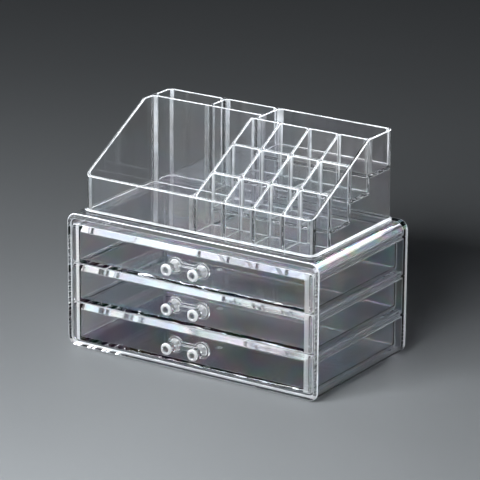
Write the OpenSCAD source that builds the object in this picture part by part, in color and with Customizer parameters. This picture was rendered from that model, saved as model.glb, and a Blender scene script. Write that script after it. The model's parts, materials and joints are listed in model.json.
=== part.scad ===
// Clear stacking organizer: a housing with three drawers and a loose tray on its roof.
// Millimetres. +Z up, front towards -Y. The origin is on the surface it stands on,
// under the middle of its whole outline, knobs included.

/* [Housing] */
// Width of the housing, side to side
body_w = 238; // [230:1:260]
// Depth of the housing, front to back
body_d = 135; // [130:1:155]
// Outer corner radius of the housing, seen from the front
body_r = 8; // [6:0.5:10]
// Thickness of the side walls
side_t = 4; // [3:0.5:5]
// Thickness of the roof
roof_t = 4.7; // [3:0.1:6]
// Thickness of the bottom
bottom_t = 4.5; // [3:0.1:6]
// Thickness of the back wall
back_t = 4; // [3:0.5:5]
// Radius of the bay's inner corners
bay_r = 4; // [3:0.5:5]
// Height of the feet
foot_h = 1.5; // [1:0.1:3]
// Diameter of the feet
foot_d = 5; // [4:0.5:8]
// Distance of the feet from the side walls' outer faces
foot_in = 13; // [11:0.5:20]

/* [Drawers] */
// Height of a drawer's front panel
panel_h = 32.4; // [28:0.2:40]
// Thickness of the front panel
panel_t = 3; // [2.4:0.2:4]
// Gap between two panels
panel_gap = 0.6; // [0.5:0.1:1]
// Corner radius of the panel
panel_r = 3.5; // [2:0.5:4]
// Gap between a panel and the housing's side wall
side_gap = 0.7; // [0.5:0.1:1]
// Gap between the lowest panel and the housing's bottom
low_gap = 1.2; // [0.8:0.1:2]
// Gap between the highest panel and the roof
top_gap = 3.9; // [1:0.1:5]
// Thickness of a drawer's side and back walls
drawer_wall = 2.3; // [2:0.1:3]
// Thickness of a drawer's floor
drawer_floor = 2.8; // [2:0.1:3.5]
// Radius of the drawer's lower back edge
drawer_r = 4; // [3.5:0.5:6]
// Width of the rim that hangs on the rails
rim_w = 4.3; // [4:0.1:5]
// Thickness of the rim
rim_t = 2.7; // [2:0.1:3.5]
// Depth of the lip along the top of the panel, inside the drawer
lip_d = 10; // [8:0.5:11]
// Height of the lip where its sloping underside meets the panel
lip_h = 6.2; // [5:0.2:7]
// Thickness of the lip's edge
lip_t = 0.8; // [0.6:0.1:1.2]
// Width of the housing's side rails
rail_w = 4; // [3:0.1:4]
// Thickness of the side rails
rail_t = 2.2; // [1.6:0.1:3]

/* [Handles] */
// How far the knobs stand out of the panel
knob_l = 16; // [12:0.5:20]
// Distance between the two knobs
knob_pitch = 25; // [20:0.5:40]
// Diameter of a knob's stem
knob_d = 8.4; // [7:0.2:9]
// Diameter of the stem where it meets the base disc
flare_d = 11.6; // [10:0.2:13]
// Length of the stem's tapered foot
flare_l = 7; // [5:0.5:8]
// Diameter of the round collar at a knob's end
collar_d = 10; // [9.4:0.2:12]
// Thickness of the collar
collar_t = 2.6; // [2:0.2:3]
// Diameter of the hollow in a knob
knob_bore = 5; // [3:0.2:6]
// Depth of the hollow
bore_l = 11; // [6:0.5:11]
// Diameter of the base discs
disc_d = 14; // [11:0.5:16]
// Height of the bar that joins the discs
bar_h = 7; // [5:0.5:9]
// Thickness of discs and bar
plate_t = 2; // [1.5:0.1:3]
// Diameter of the pegs
peg_d = 4.4; // [3:0.1:5]

/* [Tray] */
// Width of the tray
tray_w = 214.8; // [212:0.4:220]
// Centre of the tray, from the middle of the housing
tray_x = 0.8; // [-2:0.1:2]
// Depth of the tray
tray_d = 120.4; // [118:0.4:124]
// Height of the tray's back
tray_h = 76; // [70:0.2:85]
// Height of the tray's front wall
front_h = 30.8; // [24:0.2:34]
// Thickness of the tray's walls
wall = 2.2; // [1.6:0.1:3]
// Thickness of the tray's base
base_t = 2.2; // [1.8:0.1:4]
// Thickness of the raised floors
floor_t = 2.7; // [2:0.1:3.5]
// Radius of the tray's upright corners
tray_r = 6; // [4:0.5:8]
// Radius of the big compartments' upright corners
well_r = 4.5; // [3:0.5:5]
// Depth from the front to the top end of the slant
slant_d = 82.2; // [76:0.1:83]
// How far the foot flange stands out of the walls
flange_w = 2; // [1:0.2:3]
// Height of the foot flange
flange_h = 2.6; // [2:0.2:3.4]
// Centre of the wall left of the rack, from the middle of the tray
rack_x = -2.3; // [-10:0.1:10]
// Centre of the wall between the two back boxes, from the middle of the tray
box_x = -50.8; // [-60:0.2:-40]
// Height of the second row's floor above the base floor
step_2 = 13.9; // [10:0.1:16]
// Height of the third row's floor above the base floor
step_3 = 30.9; // [26:0.1:34]
// Height of the back shelf's floor above the base floor
step_4 = 44.4; // [40:0.1:47]
// Depth from the front to the middle of the first row's wall
row_1 = 26.5; // [24:0.5:28]
// Depth from the front to the middle of the second row's wall
row_2 = 55.5; // [53:0.5:58]
// Depth from the front to the middle of the third row's wall
row_3 = 83.7; // [83:0.1:87]
// Depth from the front to the middle of the back boxes' wall
box_y = 95.2; // [93:0.2:98]

/* [Hidden] */
$fn = 48;
e = 1;

y_front = (knob_l - body_d) / 2;
y_back = y_front + body_d;
y_mid = y_front + body_d / 2;
pitch = panel_h + panel_gap;
bay_z0 = foot_h + bottom_t;
bay_h = low_gap + 3 * panel_h + 2 * panel_gap + top_gap;
bay_w = body_w - 2 * side_t;
body_h = bottom_t + bay_h + roof_t;
roof_z = foot_h + body_h;
panel_w = bay_w - 2 * side_gap;
box_w = panel_w - 2 * rim_w;
box_back = y_back - back_t - 1.2;
rim_drop = 0.2;
rail_gap = 0.3;
clear = 0.05;
function panel_z(i) = bay_z0 + low_gap + i * pitch;

tray_z = roof_z + 0.2;
tray_y = y_mid - tray_d / 2;
tray_back = y_mid + tray_d / 2;
tray_in = tray_w / 2 - wall;
base_z = tray_z + base_t;
top_z = tray_z + tray_h;
shelf_x = rack_x + 2.9;
slot_pitch = (tray_w / 2 - wall / 2 - rack_x) / 4;

// Rounded rectangle between two corners
module rr(x0, y0, x1, y1, r) {
    translate([x0 + r, y0]) square([x1 - x0 - 2 * r, y1 - y0]);
    translate([x0, y0 + r]) square([x1 - x0, y1 - y0 - 2 * r]);
    for (x = [x0 + r, x1 - r], y = [y0 + r, y1 - r])
        translate([x, y]) circle(r = r);
}

// A profile drawn in X and Z, run from y0 to y1
module along_y(y0, y1) {
    translate([0, y1, 0]) rotate([90, 0, 0]) linear_extrude(height = y1 - y0) children();
}

// A profile drawn in Y and Z, run from x0 to x1
module along_x(x0, x1) {
    translate([x0, 0, 0]) rotate([90, 0, 90]) linear_extrude(height = x1 - x0) children();
}

// A box between two corners
module block(x0, y0, z0, x1, y1, z1) {
    translate([x0, y0, z0]) cube([x1 - x0, y1 - y0, z1 - z0]);
}

// ---------------------------------------------------------------- housing
module housing() color([0.86, 0.9, 0.93, 0.35]) {
    difference() {
        along_y(y_front, y_back)
            rr(-body_w / 2, foot_h, body_w / 2, roof_z, body_r);
        along_y(y_front - e, y_back - back_t)
            rr(-bay_w / 2, bay_z0, bay_w / 2, bay_z0 + bay_h, bay_r);
    }
    // side rails, from behind the panels to the back wall
    for (i = [0, 1, 2], s = [-1, 1])
        rail(i, s);
}

module rail(i, s) {
    z1 = panel_z(i) + panel_h - rim_drop - rim_t - rail_gap;
    x0 = s > 0 ? bay_w / 2 - rail_w : -bay_w / 2 - side_t / 2;
    block(x0, y_front + panel_t + 1, z1 - rail_t,
          x0 + rail_w + side_t / 2, y_back - back_t / 2, z1);
}

module feet() color([0.86, 0.9, 0.93, 0.35]) {
    for (x = [-body_w / 2 + foot_in, body_w / 2 - foot_in], y = [y_front + 9, y_back - 9])
        translate([x, y, 0]) cylinder(d = foot_d, h = foot_h);
}

// ---------------------------------------------------------------- drawers
module drawer(i) {
    z0 = panel_z(i);
    zr = z0 + panel_h - rim_drop;
    difference() {
        union() {
            along_y(y_front, y_front + panel_t)
                rr(-panel_w / 2, z0, panel_w / 2, z0 + panel_h, panel_r);
            // the box, with its lower back edge rounded
            along_x(-box_w / 2, box_w / 2) box_profile(z0, zr, 0, drawer_r);
            // the rims that hang on the rails
            block(-panel_w / 2, y_front + panel_t / 2, zr - rim_t, panel_w / 2, box_back, zr);
        }
        along_x(-box_w / 2 + drawer_wall, box_w / 2 - drawer_wall)
            box_profile(z0 + drawer_floor, zr + e, drawer_wall, drawer_r - drawer_wall);
        for (s = [-1, 1])
            translate([s * knob_pitch / 2, y_front - e, z0 + panel_h / 2])
                rotate([-90, 0, 0]) cylinder(d = peg_d + 2 * clear, h = panel_t + 2 * e);
    }
    // the lip behind the panel, with a sloping underside
    yp = y_front + panel_t;
    along_x(-box_w / 2 + drawer_wall / 2, box_w / 2 - drawer_wall / 2)
        polygon([[yp - panel_t / 2, zr], [yp - panel_t / 2, zr - lip_h], [yp, zr - lip_h],
                 [yp + lip_d, zr - lip_t], [yp + lip_d, zr]]);
}

// side view of the box or of its hollow: inset from the back, lower back edge rounded
module box_profile(z0, z1, inset, r) {
    ya = inset > 0 ? y_front + panel_t : y_front + panel_t / 2;
    yb = box_back - inset;
    translate([ya, z0]) square([yb - r - ya, z1 - z0]);
    translate([ya, z0 + r]) square([yb - ya, z1 - z0 - r]);
    translate([yb - r, z0 + r]) circle(r = r);
}

module top_drawer() color([0.86, 0.9, 0.93, 0.35]) drawer(2);
module middle_drawer() color([0.86, 0.9, 0.93, 0.35]) drawer(1);
module bottom_drawer() color([0.86, 0.9, 0.93, 0.35]) drawer(0);

// ---------------------------------------------------------------- handles
module handle(i) {
    z = panel_z(i) + panel_h / 2;
    yp = y_front - 0.1;
    difference() {
        union() {
            for (s = [-1, 1]) {
                spin(s, z, yp) cylinder(d = disc_d, h = plate_t);
                spin(s, z, yp) cylinder(d = knob_d, h = knob_l - 0.1 - collar_t / 2);
                spin(s, z, yp) cylinder(d1 = flare_d, d2 = knob_d - 0.2, h = flare_l);
                spin(s, z, yp) translate([0, 0, knob_l - 0.1 - collar_t]) collar();
                // peg through the panel
                translate([s * knob_pitch / 2, yp - e, z])
                    rotate([-90, 0, 0]) cylinder(d = peg_d, h = panel_t - 0.2 + e);
            }
            block(-knob_pitch / 2, yp - plate_t, z - bar_h / 2, knob_pitch / 2, yp, z + bar_h / 2);
            // low rib on the bar
            block(-knob_pitch / 2, yp - plate_t - 2.5, z - 1.5, knob_pitch / 2, yp - e, z + 1.5);
        }
        for (s = [-1, 1])
            spin(s, z, yp) translate([0, 0, knob_l - 0.1 - bore_l]) cylinder(d = knob_bore, h = bore_l + e);
    }
}

// moves what is drawn along +Z onto a knob's axis, standing out of the panel
module spin(s, z, yp) {
    translate([s * knob_pitch / 2, yp, z]) rotate([90, 0, 0]) children();
}

// round collar: a full rounded rim
module collar() {
    rotate_extrude() {
        square([collar_d / 2 - collar_t / 2, collar_t]);
        translate([collar_d / 2 - collar_t / 2, collar_t / 2]) circle(r = collar_t / 2);
    }
}

module top_handle() color([0.86, 0.9, 0.93, 0.35]) handle(2);
module middle_handle() color([0.86, 0.9, 0.93, 0.35]) handle(1);
module bottom_handle() color([0.86, 0.9, 0.93, 0.35]) handle(0);

// ---------------------------------------------------------------- tray
// a hollow that is open at the top
module well(x0, y0, x1, y1, z, r) {
    translate([0, 0, z]) linear_extrude(height = tray_h + e) rr(x0, y0, x1, y1, r);
}

module top_tray() color([0.86, 0.9, 0.93, 0.35]) {
    h = wall / 2;
    y0 = tray_y + wall;
    y1 = tray_back - wall;
    translate([tray_x, 0, 0]) difference() {
        union() {
            translate([0, 0, tray_z]) linear_extrude(height = tray_h)
                rr(-tray_w / 2, tray_y, tray_w / 2, tray_back, tray_r);
            // foot flange all round
            translate([0, 0, tray_z]) linear_extrude(height = flange_h)
                rr(-tray_w / 2 - flange_w, tray_y - flange_w,
                   tray_w / 2 + flange_w, tray_back + flange_w, tray_r + flange_w);
        }
        // slanted upper front
        along_x(-tray_w / 2 - e, tray_w / 2 + e)
            polygon([[tray_y - e, tray_z + front_h], [tray_y + 0.7, tray_z + front_h],
                     [tray_y + slant_d, top_z], [tray_y + slant_d, top_z + e], [tray_y - e, top_z + e]]);
        // wide front compartment, with the nook beside the rack's back wall
        well(-tray_in, y0, rack_x - h, tray_y + box_y - h, base_z, well_r);
        well(rack_x - h - 8, tray_y + row_3 + h, shelf_x - h, tray_y + box_y - h, base_z, 1.2);
        // two back boxes
        well(-tray_in, tray_y + box_y + h, box_x - h, y1, base_z, well_r);
        well(box_x + h, tray_y + box_y + h, shelf_x - h, y1, base_z, well_r);
        // back shelf
        well(shelf_x + h, tray_y + row_3 + h, tray_in, y1, base_z + step_4, well_r);
        // the rack: three rows of four slots, each row higher than the one before it
        for (i = [0 : 3]) {
            x = rack_x + i * slot_pitch;
            well(x + h, y0, x + slot_pitch - h, tray_y + row_1 - h, base_z, 1.5);
            well(x + h, tray_y + row_1 + h, x + slot_pitch - h, tray_y + row_2 - h, base_z + step_2, 1.5);
            well(x + h, tray_y + row_2 + h, x + slot_pitch - h, tray_y + row_3 - h, base_z + step_3, 1.5);
        }
        // stepped space under the rack and the shelf, open below
        block(rack_x + h, tray_y + row_1 + h, roof_z, tray_in, tray_y + row_3 - h, base_z + step_2 - floor_t);
        block(shelf_x + h, tray_y + row_3 - h - e, roof_z, tray_in, y1, base_z + step_2 - floor_t);
        block(rack_x + h, tray_y + row_2 + h, roof_z, tray_in, tray_y + row_3 - h, base_z + step_3 - floor_t);
        block(shelf_x + h, tray_y + row_3 - h - e, roof_z, tray_in, y1, base_z + step_3 - floor_t);
        block(shelf_x + h, tray_y + row_3 + h, roof_z, tray_in, y1, base_z + step_4 - floor_t);
    }
}

housing();
feet();
top_drawer();
middle_drawer();
bottom_drawer();
top_handle();
middle_handle();
bottom_handle();
top_tray();
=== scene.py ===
import json
import math

import bmesh
import bpy
from mathutils import Matrix, Vector

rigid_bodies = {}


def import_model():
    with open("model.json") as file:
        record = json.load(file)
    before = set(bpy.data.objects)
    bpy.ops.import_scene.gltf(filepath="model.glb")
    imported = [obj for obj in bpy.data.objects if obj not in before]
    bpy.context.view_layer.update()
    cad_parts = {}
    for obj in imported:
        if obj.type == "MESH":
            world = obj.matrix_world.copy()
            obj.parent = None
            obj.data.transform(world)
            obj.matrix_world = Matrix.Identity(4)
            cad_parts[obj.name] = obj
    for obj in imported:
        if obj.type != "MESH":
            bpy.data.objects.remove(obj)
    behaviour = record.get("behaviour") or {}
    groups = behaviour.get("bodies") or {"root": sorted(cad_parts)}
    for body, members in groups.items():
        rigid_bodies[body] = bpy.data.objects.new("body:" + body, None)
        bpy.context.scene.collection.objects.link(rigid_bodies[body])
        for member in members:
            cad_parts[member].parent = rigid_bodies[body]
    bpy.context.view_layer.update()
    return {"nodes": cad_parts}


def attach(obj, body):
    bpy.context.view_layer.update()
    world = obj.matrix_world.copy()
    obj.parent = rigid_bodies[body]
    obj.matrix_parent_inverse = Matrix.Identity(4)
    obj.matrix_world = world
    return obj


for o in list(bpy.data.objects):
    bpy.data.objects.remove(o, do_unlink=True)

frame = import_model()
N = frame["nodes"]
scene = bpy.context.scene
MM = 0.001


# ------------------------------------------------------------------ camera
def make_camera():
    az, el, roll = math.radians(33.07), math.radians(18.22), math.radians(0.34)
    target = Vector((2.84, 8.0, 94.61)) * MM
    f = Vector((-math.sin(az) * math.cos(el), math.cos(az) * math.cos(el), -math.sin(el)))
    r = f.cross(Vector((0, 0, 1))).normalized()
    u = r.cross(f).normalized()
    r2 = r * math.cos(roll) + u * math.sin(roll)
    u2 = u * math.cos(roll) - r * math.sin(roll)
    data = bpy.data.cameras.new("camera")
    data.sensor_width = 36.0
    data.lens = 234.05
    data.clip_start = 0.05
    data.clip_end = 50.0
    cam = bpy.data.objects.new("camera", data)
    scene.collection.objects.link(cam)
    pos = target - f * 2.5
    m = Matrix((
        (r2.x, u2.x, -f.x, pos.x),
        (r2.y, u2.y, -f.y, pos.y),
        (r2.z, u2.z, -f.z, pos.z),
        (0, 0, 0, 1),
    ))
    cam.matrix_world = m
    scene.camera = cam
    return cam


make_camera()


# ------------------------------------------------------------------ lights
def softbox(name, direction_az, elevation, distance, width, height, power, aim=(0, 0, 0.09), spread=180.0, colour=(0.93, 0.97, 1.0)):
    """An area light on a circle round the object. direction_az 0 is in front (-Y), 90 is at +X."""
    a, e = math.radians(direction_az), math.radians(elevation)
    aim = Vector(aim)
    pos = aim + distance * Vector((math.sin(a) * math.cos(e), -math.cos(a) * math.cos(e), math.sin(e)))
    d = bpy.data.lights.new(name, "AREA")
    d.shape = "RECTANGLE"
    d.size = width
    d.size_y = height
    d.energy = power
    d.spread = math.radians(spread)
    d.color = colour
    ob = bpy.data.objects.new(name, d)
    scene.collection.objects.link(ob)
    ob.location = pos
    ob.rotation_euler = (aim - pos).to_track_quat("-Z", "Y").to_euler()
    return ob


OBJECT_LIGHTS = [
    softbox("rear_high", 225, 48, 1.2, 2.0, 0.8, 8.0),
    softbox("rear_strip", 180, 37, 1.1, 0.9, 0.12, 4.2),
    softbox("left_strip", 270, 59, 1.05, 0.15, 1.2, 6.8),
    softbox("top_softbox", 30, 84, 1.1, 2.0, 1.8, 25.0),
    softbox("left_softbox", 285, 20, 1.0, 1.2, 0.9, 9.0),
    softbox("right_softbox", 110, 20, 1.0, 1.4, 0.9, 11.0),
    softbox("front_left", 330, 20, 1.5, 1.2, 1.0, 5.0),
    softbox("front_right", 30, 20, 1.5, 1.2, 1.0, 5.0),
]
FLOOR_LIGHTS = [
    softbox("floor_light", 0, 44, 0.95, 1.2, 0.6, 15.0, aim=(0, -0.45, 0)),
]

world = bpy.data.worlds.new("studio")
scene.world = world
world.use_nodes = True
world.node_tree.nodes["Background"].inputs["Color"].default_value = (0.75, 0.82, 0.9, 1)
world.node_tree.nodes["Background"].inputs["Strength"].default_value = 0.08
world.cycles_visibility.diffuse = False


# ------------------------------------------------------------------ node helpers
def new_material(name):
    m = bpy.data.materials.new(name)
    m.use_nodes = True
    nt = m.node_tree
    nt.nodes.clear()
    out = nt.nodes.new("ShaderNodeOutputMaterial")
    bsdf = nt.nodes.new("ShaderNodeBsdfPrincipled")
    nt.links.new(bsdf.outputs["BSDF"], out.inputs["Surface"])
    return m, nt, bsdf


def noise(nt, vec, scale, detail=2.0, rough=0.5, distort=0.0):
    n = nt.nodes.new("ShaderNodeTexNoise")
    n.inputs["Scale"].default_value = scale
    n.inputs["Detail"].default_value = detail
    n.inputs["Roughness"].default_value = rough
    n.inputs["Distortion"].default_value = distort
    nt.links.new(vec, n.inputs["Vector"])
    return n


def ramp(nt, fac, stops, mode="LINEAR"):
    r = nt.nodes.new("ShaderNodeValToRGB")
    r.color_ramp.interpolation = mode
    e = r.color_ramp.elements
    while len(e) < len(stops):
        e.new(0.5)
    for el, (p, c) in zip(e, stops):
        el.position = p
        el.color = (*c, 1) if len(c) == 3 else c
    nt.links.new(fac, r.inputs["Fac"])
    return r


def maths(nt, op, a, b, clamp=False):
    n = nt.nodes.new("ShaderNodeMath")
    n.operation = op
    n.use_clamp = clamp
    for i, v in enumerate((a, b)):
        if isinstance(v, (int, float)):
            n.inputs[i].default_value = v
        else:
            nt.links.new(v, n.inputs[i])
    return n.outputs[0]


def band(nt, val, lo, hi, soft=0.00025):
    """1 where a length lies between lo and hi, with soft edges."""
    out = None
    for a, b, t0, t1 in ((lo - soft, lo + soft, 0.0, 1.0), (hi - soft, hi + soft, 1.0, 0.0)):
        n = nt.nodes.new("ShaderNodeMapRange")
        n.interpolation_type = "SMOOTHSTEP"
        n.inputs["From Min"].default_value = a
        n.inputs["From Max"].default_value = b
        n.inputs["To Min"].default_value = t0
        n.inputs["To Max"].default_value = t1
        nt.links.new(val, n.inputs["Value"])
        out = n.outputs["Result"] if out is None else maths(nt, "MULTIPLY", out, n.outputs["Result"])
    return out


def painted_glow_mask(nt, co, kind):
    """Places on the object painted whiter as painted highlights and glow, standing in for light piped along the clear
    walls and edges. Built from object coordinates in metres.
    """
    sep = nt.nodes.new("ShaderNodeSeparateXYZ")
    nt.links.new(co.outputs["Object"], sep.inputs[0])
    x, y, z = sep.outputs
    ax = maths(nt, "ABSOLUTE", x, 0.0)
    ribs = maths(nt, "MULTIPLY_ADD", maths(nt, "SINE", maths(nt, "MULTIPLY", z, 2 * math.pi / 0.0027), 0.0), 0.06)
    ribs.node.inputs[2].default_value = 0.94
    terms = []
    if kind == "housing":
        # housing: painted glow along the lower front edge, the front sides, the roof front, the rails and the rear
        # edges
        front = band(nt, y, -0.1, -0.0589)
        low = maths(nt, "MULTIPLY", band(nt, z, 0.0040, 0.0070), 0.55)
        side = maths(nt, "MULTIPLY", maths(nt, "MULTIPLY", band(nt, x, 0.1148, 0.2), ribs), 0.12)
        high = maths(nt, "MULTIPLY", band(nt, z, 0.109, 0.2), 0.08)
        zr = maths(nt, "FLOORED_MODULO", maths(nt, "SUBTRACT", z, 0.0072), 0.033)
        rail = maths(nt, "MULTIPLY", band(nt, zr, 0.0268, 0.0272), band(nt, ax, 0.1095, 0.1149))
        rear = maths(nt, "MULTIPLY", maths(nt, "MULTIPLY", band(nt, y, 0.0752, 0.08), band(nt, ax, 0.1145, 0.2)), 0.4)
        strip = maths(nt, "MULTIPLY", maths(nt, "MULTIPLY", band(nt, y, 0.0714, 0.08), band(nt, ax, 0.1186, 0.2)), 0.3)
        rear = maths(nt, "MAXIMUM", rear, strip)
        terms = [maths(nt, "ADD", maths(nt, "MULTIPLY", front, maths(nt, "MAXIMUM", maths(nt, "MAXIMUM", low, side), high)),
                       maths(nt, "MAXIMUM", maths(nt, "MULTIPLY", rail, 0.55), rear))]
    elif kind == "drawer":
        # drawers: painted glow at the panel joints, the ends, the rim and the bright band along the front lip
        front = band(nt, y, -0.1, -0.0553)
        joint = maths(nt, "ADD", maths(nt, "MULTIPLY", band(nt, x, 0.1062, 0.1106), 0.42), maths(nt, "MULTIPLY", band(nt, x, -0.1104, -0.1074), 0.75))
        joint = maths(nt, "MULTIPLY", joint, ribs)
        end = maths(nt, "MULTIPLY", band(nt, x, 0.1106, 0.2), 0.2)
        # side faces: the ends of the floor, of the back wall and of the rim
        zr = maths(nt, "FLOORED_MODULO", maths(nt, "SUBTRACT", z, 0.0072), 0.033)
        outer = band(nt, ax, 0.1097, 0.1103)
        dy = maths(nt, "SUBTRACT", y, 0.0663)
        dz = maths(nt, "SUBTRACT", zr, 0.004)
        arc = maths(nt, "SQRT", maths(nt, "ADD", maths(nt, "MULTIPLY", dy, dy), maths(nt, "MULTIPLY", dz, dz)), 0.0)
        corner = maths(nt, "MULTIPLY", maths(nt, "MULTIPLY", band(nt, dy, 0.0, 0.1), band(nt, dz, -0.1, 0.0)), band(nt, arc, 0.0017, 0.0045))
        back = maths(nt, "MULTIPLY", band(nt, y, 0.068, 0.08), band(nt, dz, 0.0, 0.1))
        back = maths(nt, "MULTIPLY", maths(nt, "MAXIMUM", corner, back), 0.6)
        base = maths(nt, "MULTIPLY", band(nt, zr, 0.0, 0.0028), maths(nt, "MULTIPLY", band(nt, dy, -0.2, 0.0), 0.3))
        ends = maths(nt, "MULTIPLY", outer, maths(nt, "MAXIMUM", back, base))
        rim = maths(nt, "MULTIPLY", maths(nt, "MULTIPLY", band(nt, ax, 0.1140, 0.1146), band(nt, y, -0.056, 0.08)), 0.25)
        lip = maths(nt, "MULTIPLY", maths(nt, "MULTIPLY", band(nt, y, -0.0563, -0.0460), band(nt, zr, 0.0258, 0.0326)), 0.17)
        terms = [maths(nt, "MAXIMUM", maths(nt, "MULTIPLY", front, maths(nt, "MAXIMUM", joint, end)),
                       maths(nt, "MAXIMUM", lip, maths(nt, "MAXIMUM", ends, rim)))]
    elif kind == "handle":
        # handles: painted highlight on the knob collars and feet
        zm = maths(nt, "SUBTRACT", maths(nt, "FLOORED_MODULO", maths(nt, "SUBTRACT", z, 0.0234 - 0.0165), 0.033), 0.0165)
        xm = maths(nt, "SUBTRACT", ax, 0.0125)
        r = maths(nt, "SQRT", maths(nt, "ADD", maths(nt, "MULTIPLY", xm, xm), maths(nt, "MULTIPLY", zm, zm)), 0.0)
        collar = maths(nt, "MULTIPLY", band(nt, y, -0.1, -0.0727), band(nt, r, 0.0028, 0.02))
        foot = maths(nt, "MULTIPLY", band(nt, y, -0.0682, -0.0618), band(nt, r, 0.003, 0.0064))
        terms = [maths(nt, "MAXIMUM", maths(nt, "MULTIPLY", collar, 0.6), maths(nt, "MULTIPLY", foot, 0.28))]
    return terms[0] if terms else None


def clear_plastic(name, seed, ior=1.54, tint=0.05, wave=0.10, rough=0.012, haze=0.003, film=0.0, marks="", streaks=False, film_ior=1.40):
    """Polished clear moulded plastic: slow waves in the surface, faint colour from frozen-in stress, fine haze."""
    m, nt, bsdf = new_material(name)
    co = nt.nodes.new("ShaderNodeTexCoord")
    mp = nt.nodes.new("ShaderNodeMapping")
    mp.inputs["Location"].default_value = (seed * 0.37, seed * 0.91, seed * 0.53)
    nt.links.new(co.outputs["Object"], mp.inputs["Vector"])
    v = mp.outputs["Vector"]
    # stress colour: slow bands of pale violet, blue, green and amber
    slow = noise(nt, v, 9.0, 1.5, 0.5, 0.8)
    t = tint
    col = ramp(nt, slow.outputs["Fac"], [
        (0.30, (1 - 0.2 * t, 1 - 0.2 * t, 1.0)),
        (0.42, (1 - 0.8 * t, 1 - 1.0 * t, 1.0)),
        (0.50, (1 - 1.2 * t, 1 - 0.3 * t, 1.0)),
        (0.56, (1.0, 1 - 0.5 * t, 1 - 0.9 * t)),
        (0.66, (1.0 - 0.3 * t, 1 - 1.2 * t, 1.0 - 0.1 * t)),
        (0.80, (1 - 0.3 * t, 1 - 0.1 * t, 1.0)),
    ], "EASE")
    nt.links.new(col.outputs["Color"], bsdf.inputs["Base Color"])
    # haze and fine wipe marks
    fine = noise(nt, v, 420.0, 3.0, 0.65)
    rr = nt.nodes.new("ShaderNodeMapRange")
    rr.inputs["From Min"].default_value = 0.45
    rr.inputs["From Max"].default_value = 0.75
    rr.inputs["To Min"].default_value = rough * 0.4
    rr.inputs["To Max"].default_value = rough * 2.5
    nt.links.new(fine.outputs["Fac"], rr.inputs["Value"])
    nt.links.new(rr.outputs["Result"], bsdf.inputs["Roughness"])
    # flow waves
    w1 = noise(nt, v, 26.0, 1.0, 0.4, 0.6)
    w2 = noise(nt, v, 85.0, 1.0, 0.4, 0.3)
    h = maths(nt, "ADD", w1.outputs["Fac"], maths(nt, "MULTIPLY", w2.outputs["Fac"], 0.18))
    b = nt.nodes.new("ShaderNodeBump")
    b.inputs["Strength"].default_value = wave
    b.inputs["Distance"].default_value = 0.0006
    nt.links.new(h, b.inputs["Height"])
    nt.links.new(b.outputs["Normal"], bsdf.inputs["Normal"])
    # faint milky haze in slow clouds
    cv = v
    if streaks:
        # the tray's walls show soft upright streaks
        stretch = nt.nodes.new("ShaderNodeMapping")
        stretch.inputs["Scale"].default_value = (6.0, 6.0, 0.5)
        nt.links.new(v, stretch.inputs["Vector"])
        cv = stretch.outputs["Vector"]
    cloud = noise(nt, cv, 14.0, 2.0, 0.5, 1.0)
    tr = nt.nodes.new("ShaderNodeMapRange")
    tr.inputs["From Min"].default_value = 0.35
    tr.inputs["From Max"].default_value = 0.7
    tr.inputs["To Min"].default_value = 1.0
    tr.inputs["To Max"].default_value = 1.0 - haze
    nt.links.new(cloud.outputs["Fac"], tr.inputs["Value"])
    # painted glow: the marks argument picks a painted glow mask, and where it lies the plastic is made less clear and
    # rougher, so it shows whiter
    mask = painted_glow_mask(nt, co, marks)
    if mask is None:
        nt.links.new(tr.outputs["Result"], bsdf.inputs["Transmission Weight"])
    else:
        nt.links.new(maths(nt, "SUBTRACT", tr.outputs["Result"], mask, True), bsdf.inputs["Transmission Weight"])
        rm = maths(nt, "ADD", rr.outputs["Result"], maths(nt, "MULTIPLY", mask, 0.2))
        nt.links.new(rm, bsdf.inputs["Roughness"])
    bsdf.inputs["IOR"].default_value = ior
    if film:
        # frozen-in stress near the surface shows as soft rainbow bands in the reflections
        bands = noise(nt, v, film, 1.0, 0.4, 1.2)
        th = nt.nodes.new("ShaderNodeMapRange")
        th.inputs["From Min"].default_value = 0.25
        th.inputs["From Max"].default_value = 0.75
        th.inputs["To Min"].default_value = 180.0
        th.inputs["To Max"].default_value = 900.0
        nt.links.new(bands.outputs["Fac"], th.inputs["Value"])
        nt.links.new(th.outputs["Result"], bsdf.inputs["Thin Film Thickness"])
        bsdf.inputs["Thin Film IOR"].default_value = film_ior
    return m


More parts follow.
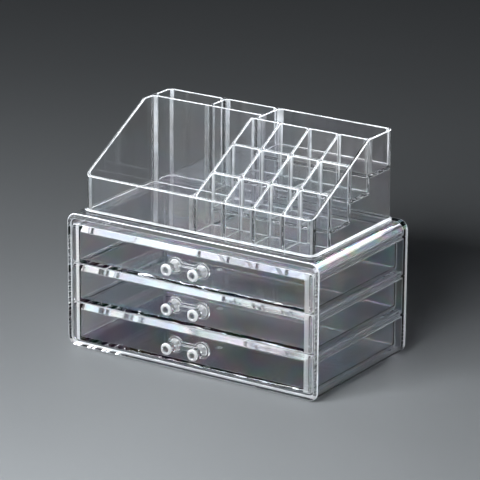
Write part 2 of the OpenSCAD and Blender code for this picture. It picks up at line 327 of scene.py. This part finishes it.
def edge_highlight_plastic(name, seed, white, ior=1.54):
    """The rounded edges: slightly scuffed, and painted whiter than the faces as a painted highlight, standing in for
    the light the edges catch.
    """
    m, nt, bsdf = new_material(name)
    co = nt.nodes.new("ShaderNodeTexCoord")
    mp = nt.nodes.new("ShaderNodeMapping")
    mp.inputs["Location"].default_value = (seed * 0.71, seed * 0.23, seed * 0.47)
    nt.links.new(co.outputs["Object"], mp.inputs["Vector"])
    v = mp.outputs["Vector"]
    n1 = noise(nt, v, 130.0, 3.0, 0.6, 0.4)
    col = ramp(nt, n1.outputs["Fac"], [(0.3, (0.93, 0.96, 1.0)), (0.7, (1.0, 1.0, 1.0))])
    nt.links.new(col.outputs["Color"], bsdf.inputs["Base Color"])
    n2 = noise(nt, v, 60.0, 2.0, 0.55)
    tr = nt.nodes.new("ShaderNodeMapRange")
    tr.inputs["From Min"].default_value = 0.35
    tr.inputs["From Max"].default_value = 0.65
    tr.inputs["To Min"].default_value = 1.0 - white * 0.7
    tr.inputs["To Max"].default_value = 1.0 - white * 1.2
    nt.links.new(n2.outputs["Fac"], tr.inputs["Value"])
    nt.links.new(tr.outputs["Result"], bsdf.inputs["Transmission Weight"])
    rr = nt.nodes.new("ShaderNodeMapRange")
    rr.inputs["From Min"].default_value = 0.3
    rr.inputs["From Max"].default_value = 0.7
    rr.inputs["To Min"].default_value = 0.06
    rr.inputs["To Max"].default_value = 0.16
    nt.links.new(n1.outputs["Fac"], rr.inputs["Value"])
    nt.links.new(rr.outputs["Result"], bsdf.inputs["Roughness"])
    bsdf.inputs["IOR"].default_value = ior
    return m


# the marks arguments below choose the painted glow masks for the housing, drawers and handles
MATS = {
    "housing": clear_plastic("housing_clear_plastic", 1, tint=0.045, wave=0.06, film=11.0, marks="housing", film_ior=1.46),
    "drawer": clear_plastic("drawer_clear_plastic", 2, tint=0.035, wave=0.14, film=15.0, marks="drawer"),
    "handle": clear_plastic("handle_clear_plastic", 3, tint=0.01, wave=0.2, rough=0.03, haze=0.06, marks="handle"),
    "tray": clear_plastic("tray_clear_plastic", 4, tint=0.03, wave=0.12, haze=0.02, streaks=True),
}
# painted highlights: whiter edge materials for the rounded edges and the tray's upright corners, standing in for the
# light they catch
EDGE_HIGHLIGHTS = {
    "housing": edge_highlight_plastic("housing_edge_highlight", 1, 0.78),
    "drawer": edge_highlight_plastic("drawer_edge_highlight", 2, 0.68),
    "handle": edge_highlight_plastic("handle_edge_highlight", 3, 0.8),
    "tray": edge_highlight_plastic("tray_edge_highlight", 4, 0.6),
}
CORNER_HIGHLIGHT = edge_highlight_plastic("tray_corner_highlight", 5, 0.8)


# ------------------------------------------------------------------ CAD nodes: fine edge rounding by modifiers
def dress(node, kind, width, segments=3, angle=38.0):
    o = N[node]
    for s in o.material_slots:
        s.material = MATS[kind]
    if not o.material_slots:
        o.data.materials.append(MATS[kind])
    o.data.materials.append(EDGE_HIGHLIGHTS[kind])
    w = o.modifiers.new("weld", "WELD")
    w.merge_threshold = 0.000004
    d = o.modifiers.new("planar", "DECIMATE")
    d.decimate_type = "DISSOLVE"
    d.angle_limit = math.radians(0.6)
    b = o.modifiers.new("edge_rounding", "BEVEL")
    b.width = width
    b.segments = segments
    b.limit_method = "ANGLE"
    b.angle_limit = math.radians(angle)
    b.use_clamp_overlap = False
    if kind == "tray":
        b.offset_type = "WIDTH"
        b.loop_slide = False
    b.harden_normals = False
    b.miter_outer = "MITER_SHARP"
    # the bevelled edges get the painted-highlight edge material
    b.material = 1
    if kind == "tray":
        # painted highlight: the rounded upright corners of the compartments get the whiter corner material, standing
        # in for the light they catch, like the edges do
        o.data.materials.append(CORNER_HIGHLIGHT)
        for p in o.data.polygons:
            nx, ny, nz = p.normal
            dx, dy = p.center.x - 0.0008, p.center.y - 0.008
            outer = abs(dx) > 0.1014 and abs(dy) > 0.0542 and dx * nx > 0 and dy * ny > 0
            wide = p.center.x < -0.0015 and abs(ny) < 0.6
            if abs(nz) < 0.05 and abs(nx) > 0.08 and abs(ny) > 0.08 and not outer and not wide:
                p.material_index = 2
    n = o.modifiers.new("normals", "WEIGHTED_NORMAL")
    n.weight = 90
    n.keep_sharp = False
    n.mode = "FACE_AREA"
    for p in o.data.polygons:
        p.use_smooth = True
    return o


dress("housing", "housing", 0.0008)
dress("feet", "housing", 0.0004)
for n in ("top", "middle", "bottom"):
    dress(n + "_drawer", "drawer", 0.0005)
    dress(n + "_handle", "handle", 0.0002, 2)
dress("top_tray", "tray", 0.00095)


# ------------------------------------------------------------------ gate marks on the drawers' floors
def gate_mark(name, z_floor, body):
    """The small raised blister that an injection gate leaves on a moulded floor: a shallow dome with a dimple."""
    bm = bmesh.new()
    prof = [(0.0, 0.25), (0.5, 0.3), (0.9, 0.55), (1.5, 0.72), (2.1, 0.62), (2.7, 0.34), (3.1, 0.1), (3.25, -0.05)]
    rings, seg = [], 40
    for r, h in prof[1:]:
        rings.append([bm.verts.new((r * math.cos(2 * math.pi * k / seg) * MM, (r * math.sin(2 * math.pi * k / seg) - 15.5) * MM, (z_floor + h) * MM)) for k in range(seg)])
    top = bm.verts.new((0, -15.5 * MM, (z_floor + prof[0][1]) * MM))
    low = bm.verts.new((0, -15.5 * MM, (z_floor - 0.05) * MM))
    for k in range(seg):
        j = (k + 1) % seg
        bm.faces.new((top, rings[0][k], rings[0][j]))
        for a, b in zip(rings, rings[1:]):
            bm.faces.new((a[k], b[k], b[j], a[j]))
        bm.faces.new((low, rings[-1][j], rings[-1][k]))
    bmesh.ops.recalc_face_normals(bm, faces=bm.faces)
    me = bpy.data.meshes.new(name)
    bm.to_mesh(me)
    bm.free()
    for poly in me.polygons:
        poly.use_smooth = True
    ob = bpy.data.objects.new(name, me)
    scene.collection.objects.link(ob)
    # the blister takes the painted-highlight edge material, so it shows whiter
    me.materials.append(EDGE_HIGHLIGHTS["drawer"])
    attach(ob, body)
    return ob


for n, zf in (("top", 76.0), ("middle", 43.0), ("bottom", 10.0)):
    gate_mark(n + "_gate_mark", zf, "drawer_" + n)


# ------------------------------------------------------------------ floor
def make_floor():
    me = bpy.data.meshes.new("studio_floor")
    s = 6.0
    me.from_pydata([(-s, -s, 0), (s, -s, 0), (s, s, 0), (-s, s, 0)], [], [(0, 1, 2, 3)])
    ob = bpy.data.objects.new("studio_floor", me)
    scene.collection.objects.link(ob)
    m, nt, bsdf = new_material("pale_floor")
    co = nt.nodes.new("ShaderNodeTexCoord")
    n = noise(nt, co.outputs["Object"], 2.0, 3.0)
    c = ramp(nt, n.outputs["Fac"], [(0.3, (0.56, 0.57, 0.58)), (0.7, (0.6, 0.61, 0.62))])
    nt.links.new(c.outputs["Color"], bsdf.inputs["Base Color"])
    bsdf.inputs["Roughness"].default_value = 0.5
    bsdf.inputs["Specular IOR Level"].default_value = 0.35
    me.materials.append(m)
    return ob


FLOOR = make_floor()

# the floor has a soft light of its own, so that the softboxes round the clear walls don't wash it out
only = bpy.data.collections.new("floor_only")
only.objects.link(FLOOR)
but = bpy.data.collections.new("all_but_floor")
but.objects.link(FLOOR)
but.collection_objects[0].light_linking.link_state = "EXCLUDE"
for ob in FLOOR_LIGHTS:
    ob.light_linking.receiver_collection = only
    ob.data.cycles.use_multiple_importance_sampling = False
for ob in OBJECT_LIGHTS:
    ob.light_linking.receiver_collection = but
    # the two at the sides stand low, and would glare through the walls in a side view
    if ob.name in ("left_softbox", "right_softbox"):
        ob.visible_transmission = False

# ------------------------------------------------------------------ light paths for many clear walls
cy = scene.cycles
cy.max_bounces = 40
cy.transmission_bounces = 36
cy.glossy_bounces = 12
cy.diffuse_bounces = 3
cy.transparent_max_bounces = 32
cy.sample_clamp_indirect = 6.0
cy.blur_glossy = 0.6
cy.caustics_refractive = True
cy.caustics_reflective = False
scene.view_settings.view_transform = "Standard"
scene.view_settings.look = "Medium High Contrast"
scene.view_settings.exposure = 0.0
